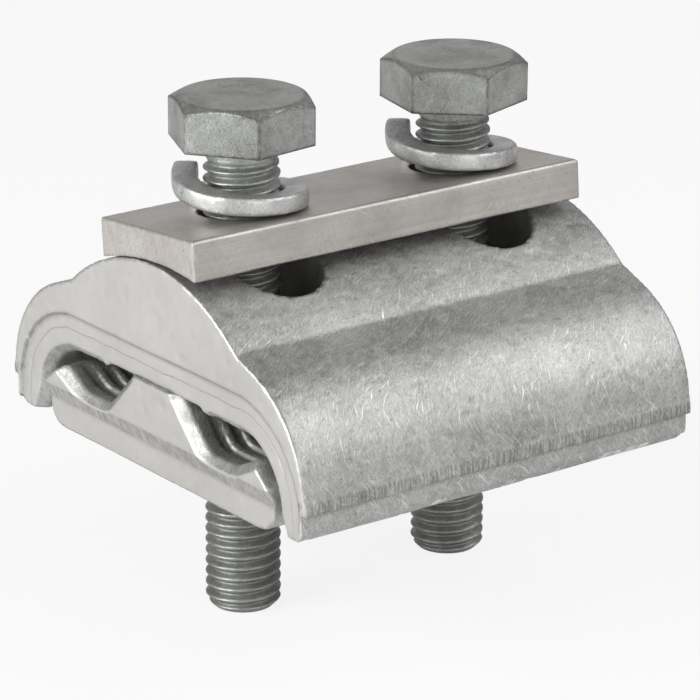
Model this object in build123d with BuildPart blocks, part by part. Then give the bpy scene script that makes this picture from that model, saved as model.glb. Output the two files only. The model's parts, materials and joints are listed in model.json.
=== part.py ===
"""Two-bolt parallel groove clamp for overhead line conductors.

Millimetres. +X runs along the conductors, +Y from one groove to the other and
+Z up the bolts. The origin is the middle of the clamp, on the plane where the
two jaws meet, half-way between the conductor grooves.
"""
import os
from math import cos, radians, sin, sqrt

from build123d import *

# Jaws
jaw_length = 63.0
upper_jaw_width = 65.6
lower_jaw_width = 50.8
lower_jaw_depth = 12.6
parting_width = 10.8  # flat on the lower jaw that meets the upper one

# Dome that carries the pressure plate, and the shoulder beside it
dome_radius = 28.1
dome_height = 16.3
notch_half_width = 18.6
shoulder_flat = 4.2
shoulder_slope = 20.5  # degrees below level

# Hooked skirt
skirt_depth = 11.6
hook_radius = 7.8
hook_centre = (18.5, -9.0)  # (Y, Z) of the round inside of the skirt
hook_lip = 1.2  # the inside runs outwards by this much below the round
ceiling_drop = 1.2  # roof of the groove, below the parting plane
ceiling_start = 9.9  # half-width of the flat middle of the upper jaw
ceiling_ramp = 2.6
flash_top = 6.0  # trimmed casting flash along the skirt, below the parting plane
flash_height = 1.7
flash_proud = 0.25
skirt_inset = 0.6
skirt_round = 1.2

# Step round the grooves on both end faces of the upper jaw
relief_width = 5.4
relief_depth = 0.5

# Grooves in the lower jaw
groove_depth = 6.0
groove_wall_run = 5.8
groove_floor = 5.8
lip_run = 4.8
lip_drop = 3.6
side_top = 6.6
groove_inner_round = 3.5
groove_outer_round = 5.0
lip_round = 0.8
side_round = 1.0
belly_round = 3.0
mouth_flare = 1.3  # the groove mouths of both jaws open out by this much
flute_pitch = 2.5  # flutes across the grooves leave ribs that grip the strands
flute_width = 1.3
flute_depth = 0.6
flute_margin = 2.0  # plain length kept at each end of a groove

# Step across both end faces of the lower jaw
end_step_top = 6.6
end_step_height = 2.4
end_step_depth = 1.0

# Bolts
bolt_spacing = 34.4
bolt_diameter = 10.0
bolt_length = 63.6
head_across_flats = 17.0
head_height = 6.1
head_chamfer_angle = 30
head_top_land = 0.95  # diameter of the flat on the head, over the width across flats
bolt_end_chamfer = 1.0
head_lift = 9.1  # free length left between the plate and the head
front_head_turn = 7.7  # degrees from +X to a corner of the head
rear_head_turn = 18.1
thread_clearance = 0.05

# Slots that let the bolts lean in the upper jaw
jaw_slot_width = 13.0
jaw_slot_length = 26.6

# Pressure plate
plate_length = 62.4
plate_offset = -0.8  # the bar is sawn this far off the middle of its holes
plate_width = 20.6
plate_edge = 5.3
plate_seat_radius = 44.0  # flatter than the dome, so that the plate can rock on it
plate_seat_clearance = 0.6
plate_hole = 11.5
plate_edge_round = 0.4
plate_tilt = -5.0  # degrees about the line along the middle of its top, as it rests

# Spring washers
washer_bore = 11.0
washer_outside = 17.6
washer_thickness = 2.5
washer_rise = 3.0
washer_gap = 14  # degrees
washer_gap_turn = 118  # degrees from +X to the middle of the gap

dome_centre_z = dome_height - dome_radius
plate_hollow = plate_seat_radius - sqrt(plate_seat_radius**2 - (plate_width / 2) ** 2)
plate_top_z = dome_height + plate_seat_clearance + plate_edge - plate_hollow
rock_axis = Axis((0, 0, plate_top_z), (1, 0, 0))
head_bottom_z = plate_top_z + head_lift
half_parting = parting_width / 2
groove_start = half_parting + groove_wall_run
groove_end = groove_start + groove_floor
fluted_length = jaw_length - 2 * flute_margin
flute_count = int(fluted_length / flute_pitch)
bolt_positions = {"front": -bolt_spacing / 2, "rear": bolt_spacing / 2}
head_turns = {"front": front_head_turn, "rear": rear_head_turn}

os.makedirs("parts", exist_ok=True)


def save(builder, name):
    """Name a finished piece and write its file."""
    builder.part.label = name
    export_step(builder.part, f"parts/{name}.step")
    size = builder.part.bounding_box().size
    print(f"{name}: {builder.part.volume:.0f} mm3, {size.X:.1f} x {size.Y:.1f} x {size.Z:.1f}")


def point_on(centre, radius, angle):
    """Point of a circle in the section plane, the angle in degrees from +Y."""
    return (centre[0] + radius * cos(radians(angle)), centre[1] + radius * sin(radians(angle)))


def height_on(centre, radius, y):
    """Height of the top of a circle above a place across the clamp."""
    return centre[1] + sqrt(radius**2 - (y - centre[0]) ** 2)


def reach_on(centre, radius, z):
    """Outermost place of a circle across the clamp at a height."""
    return centre[0] + sqrt(radius**2 - (z - centre[1]) ** 2)


def upper_jaw_outside():
    """Outer line of half the upper jaw, from the top of the dome to the skirt's edge."""
    half_width = upper_jaw_width / 2
    dome_centre = (0, dome_centre_z)
    notch = (notch_half_width, height_on(dome_centre, dome_radius, notch_half_width))
    dome_middle_y = notch_half_width / 2
    dome_middle = (dome_middle_y, height_on(dome_centre, dome_radius, dome_middle_y))
    shoulder_end = (
        notch[0] + shoulder_flat * cos(radians(shoulder_slope)),
        notch[1] - shoulder_flat * sin(radians(shoulder_slope)),
    )
    skirt_radius = (half_width - shoulder_end[0]) / (1 - sin(radians(shoulder_slope)))
    skirt_centre = (half_width - skirt_radius, shoulder_end[1] - skirt_radius * cos(radians(shoulder_slope)))
    flash_start = (reach_on(skirt_centre, skirt_radius, -flash_top), -flash_top)
    skirt_middle = point_on(skirt_centre, skirt_radius, (90 - shoulder_slope) / 2)
    flash_y = half_width + flash_proud
    flash_bottom = -flash_top - flash_height
    edge_y = half_width - skirt_inset
    ThreePointArc((0, dome_height), dome_middle, notch)
    Line(notch, shoulder_end)
    ThreePointArc(shoulder_end, skirt_middle, flash_start)
    Polyline(
        flash_start,
        (flash_y, -flash_top),
        (flash_y, flash_bottom),
        (edge_y, flash_bottom),
        (edge_y, -skirt_depth + skirt_round),
        (edge_y - skirt_round, -skirt_depth),
    )
    return (edge_y - skirt_round, -skirt_depth)


def upper_jaw_inside(start):
    """Inner line of half the upper jaw, from the skirt's edge to the middle."""
    hook_side = (hook_centre[0] + hook_radius, hook_centre[1])
    hook_top = (hook_centre[0], hook_centre[1] + hook_radius)
    lip = (hook_side[0] + hook_lip, -skirt_depth)
    Polyline(start, lip, hook_side)
    ThreePointArc(hook_side, point_on(hook_centre, hook_radius, 45), hook_top)
    Polyline(hook_top, (ceiling_start + ceiling_ramp, -ceiling_drop), (ceiling_start, 0), (0, 0))


def relief_outline():
    """Region round the underside of half the upper jaw that is stepped back at the ends."""
    outer_radius = hook_radius + relief_width
    top = (hook_centre[0], hook_centre[1] + outer_radius)
    side = (hook_centre[0] + outer_radius, hook_centre[1])
    below = -2 * skirt_depth
    Line((0, top[1]), top)
    ThreePointArc(top, point_on(hook_centre, outer_radius, 45), side)
    Polyline(side, (side[0], below), (0, below), (0, top[1]))


def hook_air():
    """Space under half the upper jaw that its hooked skirt wraps round."""
    hook_side = (hook_centre[0] + hook_radius, hook_centre[1])
    hook_top = (hook_centre[0], hook_centre[1] + hook_radius)
    below = -2 * skirt_depth
    Line((ceiling_start + ceiling_ramp, hook_top[1]), hook_top)
    ThreePointArc(hook_top, point_on(hook_centre, hook_radius, 45), hook_side)
    Polyline(
        hook_side,
        (hook_side[0] + hook_lip, -skirt_depth),
        (hook_side[0] + hook_lip, below),
        (ceiling_start + ceiling_ramp, below),
        (ceiling_start + ceiling_ramp, hook_top[1]),
    )


def groove_air(extra_depth):
    """Space over half the lower jaw that a conductor lies in, sunk below its floor by the extra depth."""
    floor = -groove_depth - extra_depth
    top = (groove_end + lip_run, -lip_drop)
    FilletPolyline(
        (half_parting, 0),
        (groove_start, floor),
        (groove_end, floor),
        top,
        (top[0], 0),
        radius=[groove_inner_round, groove_outer_round, 0],
    )
    Line((top[0], 0), (half_parting, 0))


def end_plane(end, length):
    """Plane on an end face, one of -1 and 1, that looks into the piece."""
    return Plane(origin=(end * length / 2, 0, 0), x_dir=(0, -end, 0), z_dir=(-end, 0, 0))


# Upper jaw
with BuildPart() as upper_jaw:
    with BuildSketch(Plane.YZ):
        with BuildLine():
            upper_jaw_inside(upper_jaw_outside())
            Line((0, 0), (0, dome_height))
        make_face()
        mirror(about=Plane.YZ)
    extrude(amount=jaw_length / 2, both=True)
    for end in (-1, 1):
        with BuildSketch(Plane.YZ.offset(end * jaw_length / 2)):
            with BuildLine():
                relief_outline()
            make_face()
            mirror(about=Plane.YZ)
        extrude(amount=-end * relief_depth, mode=Mode.SUBTRACT)
        with BuildSketch(end_plane(end, jaw_length - 2 * relief_depth)):
            with BuildLine():
                hook_air()
            make_face()
            offset(amount=mouth_flare)
            mirror(about=Plane.YZ)
        extrude(amount=mouth_flare, taper=45, mode=Mode.SUBTRACT)
    with BuildSketch(Plane.XY.offset(-skirt_depth)):
        with Locations(*[(x, 0) for x in bolt_positions.values()]):
            SlotOverall(jaw_slot_length, jaw_slot_width, rotation=90)
    extrude(amount=skirt_depth + dome_height, mode=Mode.SUBTRACT)
save(upper_jaw, "upper_jaw")


# Lower jaw
with BuildPart() as lower_jaw:
    half_width = lower_jaw_width / 2
    lip = (groove_end + lip_run, -lip_drop)
    with BuildSketch(Plane.YZ):
        with BuildLine():
            FilletPolyline(
                (0, 0),
                (half_parting, 0),
                (groove_start, -groove_depth),
                (groove_end, -groove_depth),
                lip,
                (half_width, -side_top),
                (half_width, -lower_jaw_depth),
                (0, -lower_jaw_depth),
                radius=[0.4, groove_inner_round, groove_outer_round, lip_round, side_round, belly_round],
            )
            Line((0, -lower_jaw_depth), (0, 0))
        make_face()
        mirror(about=Plane.YZ)
    extrude(amount=jaw_length / 2, both=True)
    for end in (-1, 1):
        face = end * jaw_length / 2
        step = end * (jaw_length / 2 - end_step_depth)
        with BuildSketch(Plane.XZ):
            with BuildLine():
                Polyline(
                    (face, -end_step_top),
                    (step, -end_step_top - end_step_height),
                    (step, -2 * lower_jaw_depth),
                    (face + end, -2 * lower_jaw_depth),
                    (face + end, -end_step_top),
                    close=True,
                )
            make_face()
        extrude(amount=lower_jaw_width, both=True, mode=Mode.SUBTRACT)
        with BuildSketch(end_plane(end, jaw_length)):
            with BuildLine():
                groove_air(0)
            make_face()
            offset(amount=mouth_flare)
            mirror(about=Plane.YZ)
        extrude(amount=mouth_flare, taper=45, mode=Mode.SUBTRACT)
    for flute in range(flute_count):
        flute_x = (flute - (flute_count - 1) / 2) * flute_pitch
        with BuildSketch(Plane.YZ.offset(flute_x)):
            with BuildLine():
                groove_air(flute_depth)
            make_face()
            mirror(about=Plane.YZ)
        extrude(amount=flute_width / 2, both=True, mode=Mode.SUBTRACT)
    with Locations(*[(x, 0, 0) for x in bolt_positions.values()]):
        Hole(radius=bolt_diameter / 2 + thread_clearance)
save(lower_jaw, "lower_jaw")


# Pressure plate
with BuildPart() as pressure_plate:
    with BuildSketch(Plane.YZ.offset(plate_offset)):
        with Locations((0, plate_top_z)):
            Rectangle(plate_width, plate_edge, align=(Align.CENTER, Align.MAX))
        with Locations((0, dome_height + plate_seat_clearance - plate_seat_radius)):
            Circle(plate_seat_radius, mode=Mode.SUBTRACT)
    extrude(amount=plate_length / 2, both=True)
    with Locations(*[(x, 0, plate_top_z) for x in bolt_positions.values()]):
        Hole(radius=plate_hole / 2)
    top_face = pressure_plate.faces().sort_by(Axis.Z)[-1]
    fillet(top_face.outer_wire().edges(), radius=plate_edge_round)
pressure_plate.part = pressure_plate.part.rotate(rock_axis, plate_tilt)
save(pressure_plate, "pressure_plate")


def make_bolt(side):
    """Hexagon bolt with its head chamfered and its end pointed."""
    across_corners = head_across_flats / cos(radians(30))
    land = head_top_land * head_across_flats / 2
    flare = (across_corners - land) * sin(radians(head_chamfer_angle)) / cos(radians(head_chamfer_angle))
    at_bolt = Plane.XY.offset(head_bottom_z).shift_origin((bolt_positions[side], 0, head_bottom_z))
    with BuildPart() as bolt:
        with BuildSketch(at_bolt):
            RegularPolygon(across_corners / 2, 6, rotation=head_turns[side])
        extrude(amount=head_height)
        with BuildSketch(Plane(origin=at_bolt.origin, x_dir=(1, 0, 0), z_dir=(0, -1, 0))):
            with BuildLine():
                Polyline(
                    (0, -1),
                    (across_corners, -1),
                    (across_corners, head_height - flare),
                    (land, head_height),
                    (0, head_height),
                    close=True,
                )
            make_face()
        revolve(axis=Axis(at_bolt.origin, (0, 0, 1)), mode=Mode.INTERSECT)
        with BuildSketch(at_bolt):
            Circle(bolt_diameter / 2)
        extrude(amount=-bolt_length)
        chamfer(bolt.edges().sort_by(Axis.Z)[0], length=bolt_end_chamfer)
    save(bolt, f"bolt_{side}")


def make_washer(side):
    """Spring washer of flat wire, one left-handed turn with its ends apart."""
    middle_radius = (washer_bore + washer_outside) / 4
    turn = (360 - washer_gap) / 360
    start_z = plate_top_z + washer_thickness / 2
    with BuildPart() as washer:
        with BuildLine():
            coil = Helix(pitch=washer_rise, height=washer_rise * turn, radius=middle_radius, lefthand=True)
        with BuildSketch(Plane(origin=coil @ 0, x_dir=(1, 0, 0), z_dir=coil % 0)):
            Rectangle((washer_outside - washer_bore) / 2, washer_thickness)
        sweep(is_frenet=True)
    turned = Rot(0, 0, washer_gap_turn - washer_gap / 2) * washer.part
    placed = Pos(bolt_positions[side], 0, start_z) * turned
    washer.part = placed.rotate(rock_axis, plate_tilt)
    save(washer, f"spring_washer_{side}")


for bolt_side in bolt_positions:
    make_bolt(bolt_side)
    make_washer(bolt_side)
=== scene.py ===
"""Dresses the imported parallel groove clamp: worn castings, galvanised bolts with real threads,
a drawn pressure plate and split spring washers, on a plain pale floor."""

import json
from math import atan2, cos, pi, radians, sin

import bmesh
import bpy
from mathutils import Matrix, Vector, noise


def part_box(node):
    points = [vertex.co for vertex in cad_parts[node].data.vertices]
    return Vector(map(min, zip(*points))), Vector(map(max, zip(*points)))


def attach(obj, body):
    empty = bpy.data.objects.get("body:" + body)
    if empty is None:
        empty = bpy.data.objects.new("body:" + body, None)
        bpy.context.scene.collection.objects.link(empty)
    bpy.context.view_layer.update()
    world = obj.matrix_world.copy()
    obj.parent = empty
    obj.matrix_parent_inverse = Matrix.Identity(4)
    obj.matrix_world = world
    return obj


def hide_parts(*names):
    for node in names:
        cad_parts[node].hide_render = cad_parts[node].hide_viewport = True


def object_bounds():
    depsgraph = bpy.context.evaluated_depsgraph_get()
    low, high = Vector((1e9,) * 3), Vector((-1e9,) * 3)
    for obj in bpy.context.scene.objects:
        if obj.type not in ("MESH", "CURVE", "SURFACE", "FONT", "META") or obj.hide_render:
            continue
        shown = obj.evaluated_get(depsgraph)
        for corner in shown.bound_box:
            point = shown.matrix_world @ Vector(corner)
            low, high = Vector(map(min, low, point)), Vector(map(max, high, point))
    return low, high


bl_info = {
    "name": "Groove Clamp Dressing",
    "version": (1, 0, 0),
    "blender": (4, 5, 0),
    "location": "3D View > Sidebar > Groove Clamp",
    "description": "Builds the castings, bolts, washers and stage of a parallel groove clamp",
    "category": "Object",
}

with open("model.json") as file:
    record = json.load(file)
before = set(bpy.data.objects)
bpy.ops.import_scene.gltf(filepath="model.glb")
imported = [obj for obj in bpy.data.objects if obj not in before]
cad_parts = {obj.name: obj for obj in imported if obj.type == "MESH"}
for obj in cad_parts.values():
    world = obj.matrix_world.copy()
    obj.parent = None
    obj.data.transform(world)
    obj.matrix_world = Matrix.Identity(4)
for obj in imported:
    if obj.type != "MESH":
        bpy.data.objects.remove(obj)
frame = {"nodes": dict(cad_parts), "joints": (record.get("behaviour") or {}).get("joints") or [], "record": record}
CAD_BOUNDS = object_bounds()
MM = 0.001
JOINTS = {joint["name"]: joint for joint in frame["joints"]}
BOLT_SIDES = ("front", "rear")
REMESH_DEPTH = 8  # halvings of the box round a piece in a remesh that keeps corners
ROUNDING_PASSES = 8  # from this many passes on, a piece's corners are rounded away and needn't be kept
HOOK_CENTRE = (18.5 * MM, -9.0 * MM)  # across and up, of the round inside of the upper jaw's skirt
FLOW_LINE = 11.2 * MM  # distance from it of the line that the metal's flow left on the end faces
FLASH_BAND = (-7.7 * MM, -6.0 * MM)  # lowest and highest height of the trimmed flash on the skirts
FLASH_ACROSS = 30.5 * MM  # how far from the middle the flash begins
HEADS_ABOVE = (29 * MM, 30 * MM)  # heights between which the bolts' heads begin
DARKER_BELOW = (-16 * MM, -12 * MM)  # heights between which the threads' darkening towards the bottom ends
HEAD_CUT = 0.02 * MM  # how far under its head a CAD bolt is cut off
HEAD_OVERLAP = 0.5 * MM  # how far a thread reaches up into its head
RINGS_PER_TURN = 10
FLANK = (0.10, 0.86)  # shares of half a pitch at which a thread's flank starts and ends
NECK_FULLNESS = 0.42  # where the plain neck lies between the thread's root and its crest
PLATE_WEAR = (0.05 * MM, 12 * MM, 0.03 * MM, 1.2 * MM)  # ripple height and width, nick depth and width
WASHER_WEAR = (0.04 * MM, 4 * MM, 0.03 * MM, 0.9 * MM)  # the same four sizes
FLOOR_REACH = 3.0  # half the floor's width
FLOOR_GLOW = 0.86  # share of the background's colour that the camera sees in the floor
WORLD_LIGHT = (0.27, 0.27, 0.27)
LAMPS = (  # name, place, size and power of each light
    ("key", (-0.62, 0.05, 0.26), 0.45, 4.7),
    ("fill", (-0.10, -0.70, 0.18), 0.35, 0.85),
    ("softbox", (0.40, -0.44, 0.42), 0.50, 1.75),
    ("high_softbox", (0.42, -0.20, 0.58), 0.35, 0.50),
    ("back", (0.35, 0.60, 0.28), 0.50, 0.33),
)


def bolt_axis(side):
    """Place of a bolt's axis along and across the clamp."""
    return JOINTS[f"bolt_{side}_turn"]["pos_m"][:2]


# Properties


class CastingSettings(bpy.types.PropertyGroup):
    """How the two aluminium castings are worn."""

    upper_grain: bpy.props.FloatProperty(
        name="Upper jaw mesh size", description="Edge length of the upper jaw's mesh",
        default=0.43 * MM, unit="LENGTH", precision=5)
    lower_grain: bpy.props.FloatProperty(
        name="Lower jaw mesh size", description="Edge length of the lower jaw's mesh",
        default=0.37 * MM, unit="LENGTH", precision=5)
    edge_passes: bpy.props.IntProperty(
        name="Edge wear", description="Smoothing passes that round the edges", default=3, min=0)
    ripple: bpy.props.FloatProperty(
        name="Ripple", description="Height of the unevenness left by the mould",
        default=0.16 * MM, unit="LENGTH", precision=5)
    ripple_size: bpy.props.FloatProperty(
        name="Ripple size", description="Width of one swell of the surface",
        default=9.0 * MM, unit="LENGTH", precision=5)
    nick: bpy.props.FloatProperty(
        name="Nicks", description="Depth of small dents and nicks",
        default=0.10 * MM, unit="LENGTH", precision=5)
    nick_size: bpy.props.FloatProperty(
        name="Nick size", description="Width of a small dent",
        default=1.6 * MM, unit="LENGTH", precision=5)
    side_colour: bpy.props.FloatVectorProperty(
        name="Side colour", description="Colour of the tumbled outside", subtype="COLOR",
        default=(0.50, 0.50, 0.49), min=0, max=1)
    face_colour: bpy.props.FloatVectorProperty(
        name="End face colour", description="Colour of the trimmed end faces", subtype="COLOR",
        default=(0.66, 0.645, 0.62), min=0, max=1)
    # Worn colour serves the scratches and worn edges, and also the painted highlight on the edges.
    worn_and_highlight_colour: bpy.props.FloatVectorProperty(
        name="Worn colour", description="Colour of rubbed edges", subtype="COLOR",
        default=(0.86, 0.86, 0.85), min=0, max=1)


class PlateSettings(bpy.types.PropertyGroup):
    """Finish of the pressure plate."""

    grain: bpy.props.FloatProperty(
        name="Mesh size", description="Edge length of the plate's mesh",
        default=0.32 * MM, unit="LENGTH", precision=5)
    edge_passes: bpy.props.IntProperty(
        name="Edge wear", description="Smoothing passes that round the edges", default=2, min=0)
    colour: bpy.props.FloatVectorProperty(
        name="Colour", description="Colour of the sawn bar", subtype="COLOR",
        default=(0.50, 0.47, 0.44), min=0, max=1)
    streak_colour: bpy.props.FloatVectorProperty(
        name="Streak colour", description="Colour of the drawing marks", subtype="COLOR",
        default=(0.60, 0.575, 0.545), min=0, max=1)


class BoltSettings(bpy.types.PropertyGroup):
    """Sizes of the bolts' threads and heads."""

    major_diameter: bpy.props.FloatProperty(
        name="Major diameter", description="Diameter over the thread crests",
        default=9.95 * MM, unit="LENGTH", precision=5)
    minor_diameter: bpy.props.FloatProperty(
        name="Minor diameter", description="Diameter at the thread roots",
        default=8.2 * MM, unit="LENGTH", precision=5)
    pitch: bpy.props.FloatProperty(
        name="Pitch", description="Distance between thread crests",
        default=1.5 * MM, unit="LENGTH", precision=5)
    head_height: bpy.props.FloatProperty(
        name="Head height", description="Height of the hexagon head",
        default=6.1 * MM, unit="LENGTH", precision=5)
    neck: bpy.props.FloatProperty(
        name="Neck", description="Plain length under the head",
        default=2.2 * MM, unit="LENGTH", precision=5)
    tip: bpy.props.FloatProperty(
        name="Tip chamfer", description="Length of the chamfer on the bolt's end",
        default=1.0 * MM, unit="LENGTH", precision=5)
    sides: bpy.props.IntProperty(
        name="Sides", description="Facets round the thread", default=72, min=12)
    head_grain: bpy.props.FloatProperty(
        name="Head mesh size", description="Edge length of the head's mesh",
        default=0.26 * MM, unit="LENGTH", precision=5)
    head_passes: bpy.props.IntProperty(
        name="Head edge wear", description="Smoothing passes that round the head's edges", default=3, min=0)
    colour: bpy.props.FloatVectorProperty(
        name="Zinc colour", description="Colour of the galvanised coat", subtype="COLOR",
        default=(0.30, 0.31, 0.295), min=0, max=1)
    bright_colour: bpy.props.FloatVectorProperty(
        name="Bright zinc", description="Colour of the brighter crystals", subtype="COLOR",
        default=(0.46, 0.47, 0.455), min=0, max=1)
    # Besides the veins, the darker lower threads and the dark head edges, the root colour is also the painted
    # shade in hollows such as the thread roots.
    root_and_shade_colour: bpy.props.FloatVectorProperty(
        name="Root colour", description="Colour of the oily thread roots", subtype="COLOR",
        default=(0.10, 0.10, 0.09), min=0, max=1)


class WasherSettings(bpy.types.PropertyGroup):
    """Finish of the spring washers."""

    grain: bpy.props.FloatProperty(
        name="Mesh size", description="Edge length of a washer's mesh",
        default=0.19 * MM, unit="LENGTH", precision=5)
    edge_passes: bpy.props.IntProperty(
        name="Edge wear", description="Smoothing passes that round the edges", default=48, min=0)
    gap_turn: bpy.props.FloatProperty(
        name="Gap turn", description="Angle from the conductor's line to the middle of the gap",
        default=radians(118), subtype="ANGLE")
    rise: bpy.props.FloatProperty(
        name="Rise", description="Height that the coil gains in one turn",
        default=3.0 * MM, unit="LENGTH", precision=5)
    lift: bpy.props.FloatProperty(
        name="Lift", description="Height of the raised end once the coil has settled",
        default=4.3 * MM, unit="LENGTH", precision=5)
    settling: bpy.props.FloatProperty(
        name="Settling", description="Power by which the coil climbs to its raised end", default=4.0, min=1.0)
    colour: bpy.props.FloatVectorProperty(
        name="Colour", description="Colour of the zinc coat", subtype="COLOR",
        default=(0.54, 0.55, 0.54), min=0, max=1)


class StageSettings(bpy.types.PropertyGroup):
    """Camera, floor and lights."""

    azimuth: bpy.props.FloatProperty(
        name="Azimuth", description="Turn of the camera round the clamp, from the main groove's side",
        default=radians(-37.18), subtype="ANGLE")
    elevation: bpy.props.FloatProperty(
        name="Elevation", description="Camera angle above the horizon",
        default=radians(19.27), subtype="ANGLE")
    roll: bpy.props.FloatProperty(
        name="Roll", description="Turn of the camera about its own line of sight",
        default=radians(0.356), subtype="ANGLE")
    distance: bpy.props.FloatProperty(
        name="Distance", description="Distance of the camera from the point it looks at",
        default=482.0 * MM, unit="LENGTH")
    aim: bpy.props.FloatVectorProperty(
        name="Aim", description="Point that the camera looks at", unit="LENGTH", precision=5,
        default=(-0.13 * MM, -0.56 * MM, -1.51 * MM))
    lens: bpy.props.FloatProperty(
        name="Focal length", description="Focal length on a 36 mm sensor, in millimetres", default=187.2)
    background: bpy.props.FloatVectorProperty(
        name="Background", description="Colour behind the clamp", subtype="COLOR",
        default=(0.99, 0.99, 0.99), min=0, max=1)


SETTINGS = {
    "groove_castings": CastingSettings,
    "groove_plate": PlateSettings,
    "groove_bolts": BoltSettings,
    "groove_washers": WasherSettings,
    "groove_stage": StageSettings,
}


# Node trees


class Wire:
    """A number on a node's socket. Arithmetic on it adds Math nodes to the same tree."""

    def __init__(self, graph, socket):
        self.graph = graph
        self.socket = socket

    def maths(self, operation, *values):
        """The result of a Math node on this number and others."""
        return self.graph.node("ShaderNodeMath", {"operation": operation}, {i: v for i, v in enumerate(values)})

    def __add__(self, other):
        return self.maths("ADD", self, other)

    def __radd__(self, other):
        return self.maths("ADD", other, self)

    def __sub__(self, other):
        return self.maths("SUBTRACT", self, other)

    def __rsub__(self, other):
        return self.maths("SUBTRACT", other, self)

    def __mul__(self, other):
        return self.maths("MULTIPLY", self, other)

    def __rmul__(self, other):
        return self.maths("MULTIPLY", other, self)

    def __truediv__(self, other):
        return self.maths("DIVIDE", self, other)

    def __rtruediv__(self, other):
        return self.maths("DIVIDE", other, self)

    def __abs__(self):
        return self.maths("ABSOLUTE", self)

    def lower(self, other):
        """The smaller of this number and another."""
        return self.maths("MINIMUM", self, other)

    def higher(self, other):
        """The larger of this number and another."""
        return self.maths("MAXIMUM", self, other)

    def root(self):
        """Square root of this number."""
        return self.maths("SQRT", self)

    def above(self, limit):
        """1 where this number is over a limit, otherwise 0."""
        return self.maths("GREATER_THAN", self, limit)

    def fraction(self):
        """What is left of this number over a whole one."""
        return self.maths("FRACT", self)

    def sine(self):
        """Sine of this number."""
        return self.maths("SINE", self)

    def cosine(self):
        """Cosine of this number."""
        return self.maths("COSINE", self)

    def fade(self, start, end):
        """0 at start and 1 at end, with an even slope between them."""
        return self.graph.node(
            "ShaderNodeMapRange", {"clamp": True}, {"Value": self, "From Min": start, "From Max": end})


class Graph:
    """Adds nodes to a shader or geometry tree."""

    def __init__(self, tree):
        self.tree = tree

    def node(self, kind, settings, values, out=0):
        """A node with its settings made first and its sockets then filled. Gives one of its outputs."""
        made = self.tree.nodes.new(kind)
        for name, value in settings.items():
            setattr(made, name, value)
        for name, value in values.items():
            self.fill(made.inputs[name], value)
        return Wire(self, made.outputs[out])

    def fill(self, socket, value):
        """Links or sets one socket."""
        if isinstance(value, Wire):
            self.tree.links.new(value.socket, socket)
        elif socket.type == "RGBA" and len(value) == 3:
            socket.default_value = (*value, 1)
        else:
            socket.default_value = value

    def blend(self, factor, first, second):
        """A mix of two colours."""
        return self.node(
            "ShaderNodeMix", {"data_type": "RGBA"}, {0: factor, 6: first, 7: second}, 2)

    def split(self, vector):
        """Three numbers from a vector."""
        parts = self.node("ShaderNodeSeparateXYZ", {}, {0: vector}).socket.node.outputs
        return [Wire(self, part) for part in parts]


SCRATCH_TURNS = ((1.2, 0.3, 0.2), (0.9, -0.8, 1.1), (0.3, 1.3, -0.5), (2.1, 0.6, 0.9))


class Finish(Graph):
    """One procedural material on the object's own coordinates."""

    def __init__(self, name):
        self.material = bpy.data.materials.new(name)
        self.material.use_nodes = True
        super().__init__(self.material.node_tree)
        self.surface = self.tree.nodes["Principled BSDF"]
        self.place = self.node("ShaderNodeTexCoord", {}, {}, "Object")

    def stretched(self, size, turn=(0, 0, 0), place=None):
        """Coordinates along turned axes, counted in cells of a size."""
        return self.node(
            "ShaderNodeMapping", {"vector_type": "TEXTURE"},
            {"Vector": place or self.place, "Rotation": turn, "Scale": size})

    def warped(self, size, reach):
        """The object's coordinates, pushed about by noise with swells of a size."""
        push = self.node("ShaderNodeTexNoise", {}, {"Vector": self.place, "Scale": 1 / size, "Detail": 2}, "Color")
        return self.node(
            "ShaderNodeVectorMath", {"operation": "MULTIPLY_ADD"}, {0: push, 1: (reach,) * 3, 2: self.place})

    def cloud(self, size, detail=3, roughness=0.5, place=None):
        """Noise between 0 and 1 with swells of about a size, in metres."""
        return self.node(
            "ShaderNodeTexNoise", {},
            {"Vector": place or self.place, "Scale": 1 / size, "Detail": detail, "Roughness": roughness})

    def scratches(self, length, width, limit):
        """Streaks in several directions, cut from thin bent sheets: 1 on a scratch and 0 off it."""
        bent = self.warped(2.5 * length, 0.5 * length)
        field = None
        for turn in SCRATCH_TURNS:
            layer = self.cloud(1.0, 1, 0.6, self.stretched((length, length, width), turn, bent))
            field = layer if field is None else field.higher(layer)
        return field.fade(limit, limit + 0.04)

    def cracks(self, size, width):
        """A net of thin crooked lines: 1 on a line and 0 off it."""
        net = self.node(
            "ShaderNodeTexVoronoi", {"feature": "DISTANCE_TO_EDGE"},
            {"Vector": self.warped(size * 0.6, size * 1.2), "Scale": 1 / size}, "Distance")
        return 1 - net.fade(0.0, width / size)

    def axes(self):
        """The object's coordinates as three numbers."""
        return self.split(self.place)

    def facing(self):
        """The surface's direction as three numbers."""
        return self.split(self.node("ShaderNodeNewGeometry", {}, {}, "Normal"))

    def edges(self):
        """How far the surface bulges: about 0.5 on a flat, more on an edge."""
        return self.node("ShaderNodeNewGeometry", {}, {}, "Pointiness")

    def set(self, colour, roughness, metallic, height, depth):
        """Fills the surface's varying sockets, with a bump of the given depth in metres."""
        self.fill(self.surface.inputs["Base Color"], colour)
        self.fill(self.surface.inputs["Roughness"], roughness)
        self.surface.inputs["Metallic"].default_value = metallic
        normal = self.node("ShaderNodeBump", {}, {"Strength": 1.0, "Distance": depth, "Height": height})
        self.fill(self.surface.inputs["Normal"], normal)
        return self.material


def shade(colour, share):
    """A colour made darker, or brighter by a share over 1."""
    return tuple(share * part for part in colour)


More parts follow.
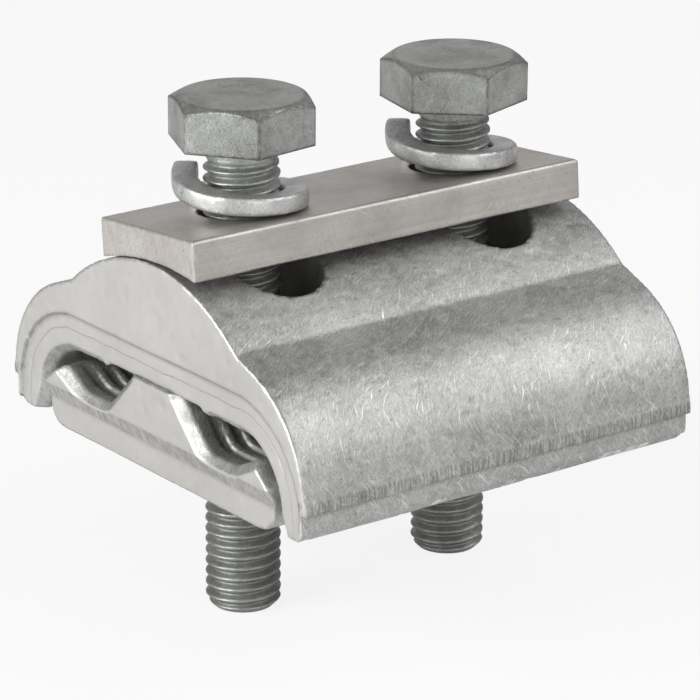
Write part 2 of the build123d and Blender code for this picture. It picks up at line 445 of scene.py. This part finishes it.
def casting_finish(name, has_flash):
    """Cast aluminium: satin ends, a tumbled and scratched outside, bright worn edges that are partly a painted
    highlight, and painted shade in creases.

    A casting with a flash has a flow line on its end faces, and one without has trimmed edges under them, darkened
    partly by their trim marks and partly by painted shade where they face down.
    """
    cast = bpy.context.scene.groove_castings
    finish = Finish(name)
    facing_x, _, facing_z = finish.facing()
    end_face = abs(facing_x).fade(0.80, 0.93)
    rough_side = 1 - 0.85 * end_face
    broad = finish.cloud(11 * MM, 4, 0.55)
    mottle = finish.cloud(1.6 * MM, 5, 0.65)
    grain = finish.cloud(0.30 * MM, 3, 0.6)
    pits = finish.cloud(0.75 * MM, 2, 0.5).fade(0.62, 0.72)
    marks = finish.scratches(3.6 * MM, 0.12 * MM, 0.675)
    hairs = finish.scratches(1.3 * MM, 0.08 * MM, 0.64)
    bulge = finish.edges()
    # bright edges: partly real wear, partly a painted highlight
    rubbed_and_highlight = bulge.fade(0.54, 0.585) * (0.10 + 0.90 * mottle.fade(0.44, 0.58))
    # painted shade in creases and hollows, found by their low pointiness
    painted_hollow_shade = 1 - bulge.fade(0.44, 0.495)
    side = finish.blend(mottle.fade(0.34, 0.66), shade(cast.side_colour, 0.62), cast.side_colour)
    side = finish.blend(broad.fade(0.38, 0.72) * 0.6, side, shade(cast.side_colour, 1.25))
    dirt = (grain.fade(0.45, 0.70) * 0.45).higher(pits * 0.6)
    side = finish.blend(dirt, side, shade(cast.side_colour, 0.40))
    haze = broad.fade(0.3, 0.7) * 0.6 + mottle.fade(0.3, 0.8) * 0.4
    face = finish.blend(haze, shade(cast.face_colour, 0.84), cast.face_colour)
    colour = finish.blend(end_face, side, face)
    colour = finish.blend((marks * 0.50).higher(hairs * 0.32) * rough_side, colour, cast.worn_and_highlight_colour)
    # painted shade darkens the creases and hollows
    colour = finish.blend(painted_hollow_shade * (0.3 + 0.5 * mottle), colour, shade(cast.side_colour, 0.30))
    # painted highlight on the edges, partly real wear
    colour = finish.blend(rubbed_and_highlight, colour, cast.worn_and_highlight_colour)
    roughness = 0.50 - 0.08 * end_face + 0.30 * (mottle - 0.5) - 0.14 * rubbed_and_highlight - 0.10 * marks
    height = (grain + 1.1 * mottle - 0.6 * marks) * rough_side
    if has_flash:
        _, across, up = finish.axes()
        aside = (abs(across) - HOOK_CENTRE[0]).higher(0.0)
        over = (up - HOOK_CENTRE[1]).higher(0.0)
        around = (aside * aside + over * over).root() + 0.9 * MM * (finish.cloud(3 * MM, 3) - 0.5)
        seam = (1 - abs(around - FLOW_LINE).fade(0.02 * MM, 0.16 * MM)) * end_face
        height = height - 1.2 * seam
        colour = finish.blend(seam * 0.55 * mottle.fade(0.30, 0.55), colour, shade(cast.face_colour, 0.5))
        teeth = finish.cloud(1.0, 2, 0.7, finish.stretched((0.35 * MM, 3 * MM, 3 * MM)))
        low, high = FLASH_BAND
        band = up.fade(low - 0.1 * MM, low + 0.1 * MM) * (1 - up.fade(high - 0.1 * MM, high + 0.25 * MM))
        band = band * abs(across).above(FLASH_ACROSS)
        height = height + band * (teeth * 3.0 - 1.5)
        colour = finish.blend(band * teeth.fade(0.42, 0.58) * 0.7, colour, shade(cast.side_colour, 0.38))
    else:
        combs = finish.cloud(1.0, 3, 0.7, finish.stretched((3 * MM, 0.40 * MM, 3 * MM)))
        trimmed = abs(facing_x).fade(0.60, 0.80) * (0 - facing_z).fade(0.18, 0.30)
        height = height + 1.2 * trimmed * combs
        # the downward-facing trimmed slope, darkened partly by its trim marks and partly by painted shade
        furrows_and_shade = trimmed * combs.fade(0.35, 0.60) * mottle.fade(0.32, 0.56) * 0.7
        colour = finish.blend(furrows_and_shade, colour, shade(cast.side_colour, 0.5))
    return finish.set(colour, roughness.higher(0.34), 0.86, height, 0.026 * MM)


def plate_finish():
    """Drawn and sawn aluminium bar with long fine marks, a few scratches, and a painted highlight along its edges
    broken by darker lines.
    """
    plate = bpy.context.scene.groove_plate
    finish = Finish("drawn_bar_aluminium")
    drawn = finish.cloud(1.0, 5, 0.65, finish.stretched((26 * MM, 0.45 * MM, 0.45 * MM)))
    broad = finish.cloud(9 * MM, 3)
    mottle = finish.cloud(1.1 * MM, 4, 0.6)
    marks = finish.scratches(6 * MM, 0.14 * MM, 0.68)
    specks = finish.cloud(0.5 * MM, 3, 0.6).fade(0.60, 0.68)
    # edge mask: a painted highlight along the edges, broken by darker lines
    rubbed_and_highlight = finish.edges().fade(0.52, 0.60) * (0.2 + mottle)
    bright = (marks * 0.3).higher(rubbed_and_highlight * mottle.fade(0.46, 0.62) * 0.5)
    dull = rubbed_and_highlight * (1 - mottle.fade(0.40, 0.54)) * 0.7
    colour = finish.blend(drawn.fade(0.35, 0.65), plate.colour, plate.streak_colour)
    colour = finish.blend(broad.fade(0.4, 0.70) * 0.55, colour, shade(plate.colour, 0.74))
    colour = finish.blend(mottle.fade(0.55, 0.8) * 0.4, colour, shade(plate.colour, 0.7))
    colour = finish.blend(specks * 0.32, colour, shade(plate.colour, 0.42))
    # painted highlight on the edges, with the real scratches
    colour = finish.blend(bright, colour, shade(plate.streak_colour, 1.25))
    colour = finish.blend(dull, colour, shade(plate.colour, 0.35))
    roughness = 0.44 + 0.14 * (broad - 0.5) + 0.14 * (drawn - 0.5)
    height = 0.6 * drawn + 0.25 * mottle - 0.5 * marks
    return finish.set(colour, roughness, 0.82, height, 0.030 * MM)


def zinc_finish(name, base, bright, root):
    """Hot-dip zinc: dull crystals and small runs, edges lightened partly by wear and partly by a painted
    highlight, painted shade in hollows, and darker towards the bottom.
    """
    finish = Finish(name)
    crystals = finish.node(
        "ShaderNodeTexVoronoi", {"feature": "SMOOTH_F1"},
        {"Vector": finish.place, "Scale": 1 / (1.5 * MM), "Smoothness": 0.8, "Randomness": 1.0}, "Distance")
    mottle = finish.cloud(0.9 * MM, 5, 0.65)
    broad = finish.cloud(5 * MM, 3)
    grain = finish.cloud(0.22 * MM, 2, 0.6)
    marks = finish.scratches(4 * MM, 0.12 * MM, 0.67)
    veins = finish.cracks(1.1 * MM, 0.10 * MM) * broad.fade(0.40, 0.60) * mottle.fade(0.42, 0.58)
    _, _, up = finish.axes()
    # darker towards the bottom of the threads
    darker_low = 1 - up.fade(*DARKER_BELOW)
    bulge = finish.edges()
    # lighter edges and thread crests: partly wear, partly a painted highlight
    rubbed_and_highlight = bulge.fade(0.53, 0.64)
    # darker along the heads' edges
    dark_head_edges = bulge.fade(0.505, 0.545) * up.fade(*HEADS_ABOVE) * mottle.fade(0.36, 0.54)
    # painted shade in thread roots and other hollows
    painted_hollow_shade = 1 - bulge.fade(0.40, 0.49)
    colour = finish.blend(mottle.fade(0.32, 0.68) * 0.7 + crystals.fade(0.1, 0.6) * 0.3, base, bright)
    colour = finish.blend(broad.fade(0.42, 0.75) * 0.7, colour, shade(base, 0.66))
    colour = finish.blend(grain.fade(0.48, 0.70) * 0.5, colour, shade(base, 0.45))
    # painted highlight, partly wear, on edges and thread crests; real scratches
    colour = finish.blend((rubbed_and_highlight * 0.35 * mottle).higher(marks * 0.28), colour, shade(bright, 1.3))
    colour = finish.blend((veins * 0.6).higher(darker_low * 0.16), colour, root)
    # painted shade in hollows, and the dark head edges, in the root colour
    colour = finish.blend((painted_hollow_shade * 0.62).higher(dark_head_edges * 0.88), colour, root)
    roughness = 0.42 + 0.26 * (mottle - 0.5) + 0.14 * painted_hollow_shade + 0.20 * dark_head_edges
    height = 0.6 * mottle + 0.4 * grain + 0.25 * crystals - 0.3 * marks - 0.5 * veins
    return finish.set(colour, roughness, 0.82, height, 0.045 * MM)


# Meshes


def new_piece(name, mesh, material):
    """A shaded object with one material, at the origin."""
    piece = bpy.data.objects.new(name, mesh)
    bpy.context.scene.collection.objects.link(piece)
    mesh.materials.clear()
    mesh.materials.append(material)
    mesh.shade_smooth()
    return piece


def settled(piece):
    """Turns a piece and its modifiers into one plain mesh."""
    graph = bpy.context.evaluated_depsgraph_get()
    mesh = bpy.data.meshes.new_from_object(piece.evaluated_get(graph))
    old = piece.data
    piece.modifiers.clear()
    piece.data = mesh
    bpy.data.meshes.remove(old)


def welded(mesh):
    """Merges the loose triangles of a mesh into a closed shell."""
    shell = bmesh.new()
    shell.from_mesh(mesh)
    bmesh.ops.remove_doubles(shell, verts=shell.verts, dist=0.001 * MM)
    shell.to_mesh(mesh)
    shell.free()


def outward(mesh):
    """Turns every face of a closed mesh outwards."""
    shell = bmesh.new()
    shell.from_mesh(mesh)
    bmesh.ops.recalc_face_normals(shell, faces=shell.faces)
    shell.to_mesh(mesh)
    shell.free()


def soften(piece, grain, passes):
    """Rebuilds a piece as an even mesh and rounds its edges, a little or, with many passes, widely."""
    remesh = piece.modifiers.new("even", "REMESH")
    if passes < ROUNDING_PASSES:
        remesh.mode = "SHARP"
        remesh.octree_depth = REMESH_DEPTH
        remesh.scale = max(piece.dimensions) / (grain * 2**REMESH_DEPTH)
        remesh.use_remove_disconnected = False
    else:
        remesh.mode = "VOXEL"
        remesh.voxel_size = grain
    rounding = piece.modifiers.new("worn", "SMOOTH")
    rounding.factor = 0.5
    rounding.iterations = passes
    settled(piece)
    outward(piece.data)
    return piece


def solid_copy(node, name, material):
    """A welded copy of a CAD solid."""
    mesh = frame["nodes"][node].data.copy()
    mesh.name = name
    welded(mesh)
    return new_piece(name, mesh, material)


def batter(piece, ripple, ripple_size, nick, nick_size):
    """Moves the surface in and out a little, in wide swells and in small dents."""
    mesh = piece.data
    normals = [vertex.normal.copy() for vertex in mesh.vertices]
    for vertex, normal in zip(mesh.vertices, normals):
        swell = noise.noise(vertex.co / ripple_size)
        dent = max(0.0, noise.noise(vertex.co / nick_size + Vector((7, 3, 5))) - 0.25)
        vertex.co += normal * (ripple * 0.5 * swell - nick * 2 * dent)
    mesh.update()


def stand_for(piece, node, body):
    """Puts a finished piece in the place of a CAD solid."""
    piece.data.shade_smooth()
    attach(piece, body)
    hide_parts(node)


def body_with(node):
    """The CAD body that a node belongs to."""
    bodies = frame["record"]["behaviour"]["bodies"]
    return next(body for body, nodes in bodies.items() if node in nodes)


def settle_coil(piece, axis, washer):
    """Lets a used washer's coil lie flat but for its raised end."""
    for vertex in piece.data.vertices:
        angle = atan2(vertex.co.y - axis[1], vertex.co.x - axis[0])
        share = (washer.gap_turn - angle) % (2 * pi) / (2 * pi)
        vertex.co.z += washer.lift * share**washer.settling - washer.rise * share
    piece.data.update()


def dress(node, name, material, grain, passes, wear, shape=None):
    """Replaces a CAD solid by a softened and worn copy, shaped further by a function where one is given."""
    piece = soften(solid_copy(node, name, material), grain, passes)
    batter(piece, *wear)
    if shape:
        shape(piece)
    stand_for(piece, node, body_with(node))


# Threads


THREAD_INPUTS = {
    "Major Radius": "NodeSocketFloat",
    "Minor Radius": "NodeSocketFloat",
    "Pitch": "NodeSocketFloat",
    "Length": "NodeSocketFloat",
    "Neck": "NodeSocketFloat",
    "Tip": "NodeSocketFloat",
    "Sides": "NodeSocketInt",
    "Rings": "NodeSocketInt",
    "Finish": "NodeSocketMaterial",
}


def thread_tree():
    """Geometry nodes that bend a grid into a threaded rod which hangs down from the origin."""
    tree = bpy.data.node_groups.new("threaded_rod", "GeometryNodeTree")
    for name, kind in THREAD_INPUTS.items():
        tree.interface.new_socket(name=name, in_out="INPUT", socket_type=kind)
    tree.interface.new_socket(name="Rod", in_out="OUTPUT", socket_type="NodeSocketGeometry")
    graph = Graph(tree)
    entry = tree.nodes.new("NodeGroupInput")
    value = {name: Wire(graph, entry.outputs[name]) for name in THREAD_INPUTS}
    grid = graph.node(
        "GeometryNodeMeshGrid", {},
        {"Size X": 2 * pi, "Size Y": value["Length"], "Vertices X": value["Sides"], "Vertices Y": value["Rings"]})
    angle, along, _ = graph.split(graph.node("GeometryNodeInputPosition", {}, {}))
    depth = value["Length"] * 0.5 - along
    turns = depth / value["Pitch"] + angle / (2 * pi)
    slope = abs(turns.fraction() * 2.0 - 1.0).fade(*FLANK)
    in_neck = 1 - depth.fade(value["Neck"], value["Neck"] + value["Pitch"])
    slope = slope - slope * in_neck + NECK_FULLNESS * in_neck
    radius = value["Minor Radius"] + (value["Major Radius"] - value["Minor Radius"]) * slope
    end_radius = value["Minor Radius"] - value["Tip"] * 0.2 + (value["Length"] - depth)
    radius = radius.lower(end_radius)
    last_ring = value["Length"] * 0.4999  # the first and last rings shrink to a point and close the rod
    radius = radius * (1 - abs(along).above(last_ring))
    place = graph.node(
        "ShaderNodeCombineXYZ", {}, {"X": radius * angle.cosine(), "Y": radius * angle.sine(), "Z": 0 - depth})
    bent = graph.node("GeometryNodeSetPosition", {}, {"Geometry": grid, "Position": place})
    joined = graph.node("GeometryNodeMergeByDistance", {}, {"Geometry": bent, "Distance": 0.005 * MM})
    whole = graph.node("GeometryNodeRealizeInstances", {}, {"Geometry": joined})
    coated = graph.node("GeometryNodeSetMaterial", {}, {"Geometry": whole, "Material": value["Finish"]})
    leave = tree.nodes.new("NodeGroupOutput")
    graph.fill(leave.inputs["Rod"], coated)
    return tree


def threaded_rod(tree, top, length, bolt, material, name):
    """A plain mesh of one threaded rod, with its upper end at a place."""
    piece = bpy.data.objects.new(name, bpy.data.meshes.new(name))
    bpy.context.scene.collection.objects.link(piece)
    modifier = piece.modifiers.new("thread", "NODES")
    modifier.node_group = tree
    values = {
        "Major Radius": bolt.major_diameter / 2,
        "Minor Radius": bolt.minor_diameter / 2,
        "Pitch": bolt.pitch,
        "Length": length,
        "Neck": bolt.neck,
        "Tip": bolt.tip,
        "Sides": bolt.sides + 1,
        "Rings": int(length / bolt.pitch * RINGS_PER_TURN),
        "Finish": material,
    }
    for item in tree.interface.items_tree:
        if item.in_out == "INPUT":
            modifier[item.identifier] = values[item.name]
    settled(piece)
    piece.data.transform(Matrix.Translation(top))
    return piece


def head_of(node, underside, material, bolt):
    """The hexagon head of a CAD bolt, cut off at its underside and softened."""
    head = solid_copy(node, f"{node}_head", material)
    shell = bmesh.new()
    shell.from_mesh(head.data)
    cut = bmesh.ops.bisect_plane(
        shell, geom=shell.verts[:] + shell.edges[:] + shell.faces[:],
        plane_co=(0, 0, underside - HEAD_CUT), plane_no=(0, 0, -1), clear_outer=True)
    rim = [item for item in cut["geom_cut"] if isinstance(item, bmesh.types.BMEdge)]
    bmesh.ops.contextual_create(shell, geom=rim)
    bmesh.ops.recalc_face_normals(shell, faces=shell.faces)
    shell.to_mesh(head.data)
    shell.free()
    return soften(head, bolt.head_grain, bolt.head_passes)


def joined(first, second):
    """One piece made of two."""
    merged = bmesh.new()
    merged.from_mesh(first.data)
    merged.from_mesh(second.data)
    merged.to_mesh(first.data)
    merged.free()
    bpy.data.objects.remove(second)
    return first


# Operators


class GROOVE_OT_upper_jaw(bpy.types.Operator):
    """Dress the domed upper jaw with its hooked skirts"""

    bl_idname = "groove.upper_jaw"
    bl_label = "Upper Jaw"

    def execute(self, context):
        cast = context.scene.groove_castings
        material = casting_finish("tumbled_casting", True)
        dress("upper_jaw", "upper_jaw_casting", material, cast.upper_grain, cast.edge_passes,
              (cast.ripple, cast.ripple_size, cast.nick, cast.nick_size))
        return {"FINISHED"}


class GROOVE_OT_lower_jaw(bpy.types.Operator):
    """Dress the lower jaw with its ribbed grooves"""

    bl_idname = "groove.lower_jaw"
    bl_label = "Lower Jaw"

    def execute(self, context):
        cast = context.scene.groove_castings
        material = casting_finish("satin_casting", False)
        dress("lower_jaw", "lower_jaw_casting", material, cast.lower_grain, cast.edge_passes,
              (cast.ripple, cast.ripple_size, cast.nick, cast.nick_size))
        return {"FINISHED"}


class GROOVE_OT_pressure_plate(bpy.types.Operator):
    """Dress the pressure plate"""

    bl_idname = "groove.pressure_plate"
    bl_label = "Pressure Plate"

    def execute(self, context):
        plate = context.scene.groove_plate
        dress("pressure_plate", "drawn_pressure_plate", plate_finish(), plate.grain, plate.edge_passes,
              PLATE_WEAR)
        return {"FINISHED"}


class GROOVE_OT_bolts(bpy.types.Operator):
    """Dress the bolts with worn heads and real threads"""

    bl_idname = "groove.bolts"
    bl_label = "Bolts"

    def execute(self, context):
        bolt = context.scene.groove_bolts
        material = zinc_finish("galvanised_bolt", bolt.colour, bolt.bright_colour, bolt.root_and_shade_colour)
        tree = thread_tree()
        for side in BOLT_SIDES:
            node = f"bolt_{side}"
            low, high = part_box(node)
            underside = high[2] - bolt.head_height
            head = head_of(node, underside, material, bolt)
            x, y = bolt_axis(side)
            top = Vector((x, y, underside + HEAD_OVERLAP))
            rod = threaded_rod(tree, top, top.z - low[2], bolt, material, f"{node}_thread")
            outward(rod.data)
            whole = joined(head, rod)
            whole.name = f"galvanised_{node}"
            stand_for(whole, node, body_with(node))
        return {"FINISHED"}


class GROOVE_OT_spring_washers(bpy.types.Operator):
    """Dress the split spring washers"""

    bl_idname = "groove.spring_washers"
    bl_label = "Spring Washers"

    def execute(self, context):
        washer = context.scene.groove_washers
        bolt = context.scene.groove_bolts
        material = zinc_finish("galvanised_washer", washer.colour, shade(washer.colour, 1.25), bolt.root_and_shade_colour)
        for side in BOLT_SIDES:
            dress(f"spring_washer_{side}", f"split_washer_{side}", material, washer.grain, washer.edge_passes,
                  WASHER_WEAR, lambda piece, axis=bolt_axis(side): settle_coil(piece, axis, washer))
        return {"FINISHED"}


def lamp(name, place, size, power):
    """A soft square light that faces the middle of the clamp."""
    light = bpy.data.lights.new(name, "AREA")
    light.size = size
    light.energy = power
    holder = bpy.data.objects.new(name, light)
    holder.location = place
    holder.rotation_euler = (-Vector(place)).to_track_quat("-Z", "Y").to_euler()
    bpy.context.scene.collection.objects.link(holder)


def place_camera(stage):
    """The camera on its line of sight, level but for a slight roll."""
    back = Vector((
        sin(stage.azimuth) * cos(stage.elevation),
        -cos(stage.azimuth) * cos(stage.elevation),
        sin(stage.elevation)))
    right = Vector((cos(stage.azimuth), sin(stage.azimuth), 0))
    up = back.cross(right)
    turn = Matrix((right, up, back)).transposed().to_4x4() @ Matrix.Rotation(stage.roll, 4, "Z")
    data = bpy.data.cameras.new("camera")
    data.lens = stage.lens
    data.clip_start = 0.01
    data.clip_end = 20
    camera = bpy.data.objects.new("camera", data)
    camera.matrix_world = Matrix.Translation(Vector(stage.aim) + back * stage.distance) @ turn
    bpy.context.scene.collection.objects.link(camera)
    bpy.context.scene.camera = camera


def pale_floor(stage):
    """A wide pale floor under the bolts' ends that keeps the clamp's shadow."""
    low = CAD_BOUNDS[0][2]
    mesh = bpy.data.meshes.new("floor")
    corners = ((-1, -1), (1, -1), (1, 1), (-1, 1))
    mesh.from_pydata([(x * FLOOR_REACH, y * FLOOR_REACH, low) for x, y in corners], [], [(0, 1, 2, 3)])
    floor = bpy.data.objects.new("floor", mesh)
    bpy.context.scene.collection.objects.link(floor)
    finish = Finish("pale_floor")
    paper = finish.cloud(40 * MM, 2)
    colour = finish.blend(paper * 0.15, (0.86, 0.86, 0.86), (0.82, 0.82, 0.82))
    finish.fill(finish.surface.inputs["Base Color"], colour)
    finish.surface.inputs["Roughness"].default_value = 0.9
    finish.surface.inputs["Specular IOR Level"].default_value = 0.0
    lit = Wire(finish, finish.surface.outputs[0])
    glow = finish.node("ShaderNodeEmission", {}, {"Color": tuple(stage.background)})
    seen = finish.node("ShaderNodeLightPath", {}, {}, "Is Camera Ray") * FLOOR_GLOW
    mix = finish.node("ShaderNodeMixShader", {}, {0: seen, 1: lit, 2: glow})
    finish.fill(finish.tree.nodes["Material Output"].inputs["Surface"], mix)
    mesh.materials.append(finish.material)


def studio_world(stage):
    """Soft grey light all round, seen by the camera as the pale background."""
    world = bpy.data.worlds.new("studio")
    world.use_nodes = True
    bpy.context.scene.world = world
    graph = Graph(world.node_tree)
    backdrop = world.node_tree.nodes["Background"]
    path = graph.node("ShaderNodeLightPath", {}, {}, "Is Camera Ray")
    colour = graph.blend(path, WORLD_LIGHT, tuple(stage.background))
    graph.fill(backdrop.inputs["Color"], colour)
    backdrop.inputs["Strength"].default_value = 1.0


class GROOVE_OT_stage(bpy.types.Operator):
    """Set up the camera, the floor and the soft lights"""

    bl_idname = "groove.stage"
    bl_label = "Stage"

    def execute(self, context):
        stage = context.scene.groove_stage
        place_camera(stage)
        pale_floor(stage)
        studio_world(stage)
        for values in LAMPS:
            lamp(*values)
        context.scene.view_settings.view_transform = "Standard"
        return {"FINISHED"}


PIECES = (
    GROOVE_OT_upper_jaw,
    GROOVE_OT_lower_jaw,
    GROOVE_OT_pressure_plate,
    GROOVE_OT_bolts,
    GROOVE_OT_spring_washers,
    GROOVE_OT_stage,
)


class GROOVE_PT_panel(bpy.types.Panel):
    """Lists the clamp's pieces and their sizes"""

    bl_idname = "GROOVE_PT_panel"
    bl_label = "Groove Clamp"
    bl_space_type = "VIEW_3D"
    bl_region_type = "UI"
    bl_category = "Groove Clamp"

    def draw(self, context):
        for name, group in SETTINGS.items():
            box = self.layout.box()
            for field in group.__annotations__:
                box.prop(getattr(context.scene, name), field)
        for piece in PIECES:
            self.layout.operator(piece.bl_idname)


def register():
    for group in SETTINGS.values():
        bpy.utils.register_class(group)
    for name, group in SETTINGS.items():
        setattr(bpy.types.Scene, name, bpy.props.PointerProperty(type=group))
    for item in (*PIECES, GROOVE_PT_panel):
        bpy.utils.register_class(item)


def unregister():
    for item in reversed((*PIECES, GROOVE_PT_panel)):
        bpy.utils.unregister_class(item)
    for name in SETTINGS:
        delattr(bpy.types.Scene, name)
    for group in reversed(list(SETTINGS.values())):
        bpy.utils.unregister_class(group)


def main():
    """Builds every piece and the stage."""
    register()
    for operation in (
        bpy.ops.groove.upper_jaw,
        bpy.ops.groove.lower_jaw,
        bpy.ops.groove.pressure_plate,
        bpy.ops.groove.bolts,
        bpy.ops.groove.spring_washers,
        bpy.ops.groove.stage,
    ):
        operation()


if __name__ == "__main__":
    main()
